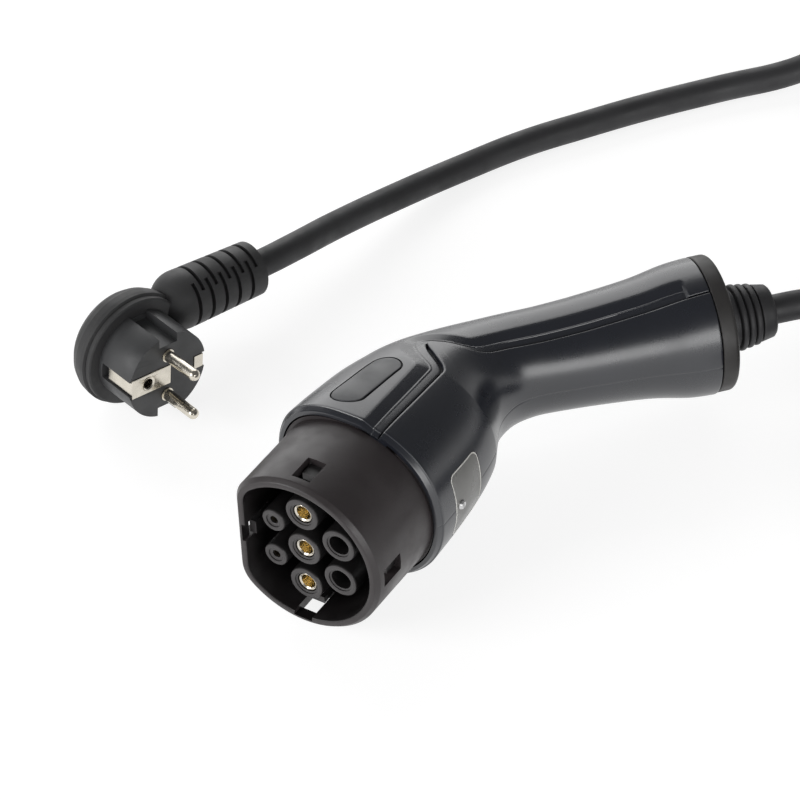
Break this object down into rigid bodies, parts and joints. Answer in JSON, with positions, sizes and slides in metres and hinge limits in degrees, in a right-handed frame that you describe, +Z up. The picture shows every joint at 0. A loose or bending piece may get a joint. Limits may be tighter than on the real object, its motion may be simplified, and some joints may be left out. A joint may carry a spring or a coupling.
{
  "type": "portable ev charger",
  "caption": "Hand-held vehicle connector with an angled handle, wired through a coiled lead and an in-cable control box to an angled earthed mains plug.",
  "frame": {"origin": "middle of the connector's outline on the floor it lies on", "axes": "+Y from the nose's mating face to the connector's rear, +Z up, +X towards the inner side of the handle's bend"},
  "size_m": [0.4824, 0.4558, 0.0773],
  "materials": {
    "nose_plastic": "matte moulded plastic, fine grain",
    "contact_brass": "plain machined brass",
    "insulator": "matte moulded plastic",
    "screw_steel": "zinc-plated steel",
    "shell_plastic": "satin moulded plastic with a fine texture",
    "badge_plastic": "smooth gloss plastic",
    "rating_foil": "printed foil left bare",
    "cap_plastic": "matte moulded plastic",
    "lead_rubber": "matte rubber jacket",
    "clamp_metal": "stamped steel",
    "board_green": "coated circuit board",
    "core_green": "smooth insulation",
    "core_brown": "smooth insulation",
    "core_blue": "smooth insulation",
    "core_grey": "smooth insulation",
    "tie_fabric": "woven hook-and-loop strap",
    "box_plastic": "fine-grained moulded plastic",
    "supply_yellow": "taped transformer",
    "lens_clear": "frosted light guide",
    "plug_plastic": "hard moulded plastic",
    "plug_rubber": "soft moulded rubber",
    "pin_nickel": "nickel-plated brass"
  },
  "bodies": {
    "root": {"nose_shroud": "nose_plastic", "contact_carrier": "nose_plastic", "front_bezel": "nose_plastic", "contact_earth": "contact_brass", "contact_line": "contact_brass", "contact_neutral": "contact_brass", "contact_pilot": "contact_brass", "contact_proximity": "contact_brass", "contact_retainer": "insulator", "retainer_screws": "screw_steel", "saddle_cover": "shell_plastic", "upper_shell": "shell_plastic", "lower_shell": "shell_plastic", "badge_plate": "badge_plastic", "rating_plate": "rating_foil", "plate_screw": "screw_steel", "rear_cap": "cap_plastic", "rear_boot": "lead_rubber", "cable_clamp": "clamp_metal", "clamp_screws": "screw_steel", "coding_board": "board_green", "core_earth": "core_green", "core_line": "core_brown", "core_neutral": "core_blue", "core_pilot": "core_grey", "lead_front": "lead_rubber", "lead_coil": "lead_rubber", "coil_tie": "tie_fabric", "lead_rear": "lead_rubber", "plug_lead": "lead_rubber", "box_base": "box_plastic", "box_lid": "box_plastic", "box_gasket": "lead_rubber", "box_board": "board_green", "box_relays": "insulator", "box_sensor": "cap_plastic", "box_supply": "supply_yellow", "indicator_lens": "lens_clear", "box_screws": "screw_steel", "outlet_boot": "lead_rubber", "inlet_boot": "lead_rubber", "plug_insert": "plug_plastic", "plug_overmould": "plug_rubber", "plug_pin_line": "pin_nickel", "plug_pin_neutral": "pin_nickel", "plug_earth_clip": "pin_nickel"}
  },
  "joints": []
}
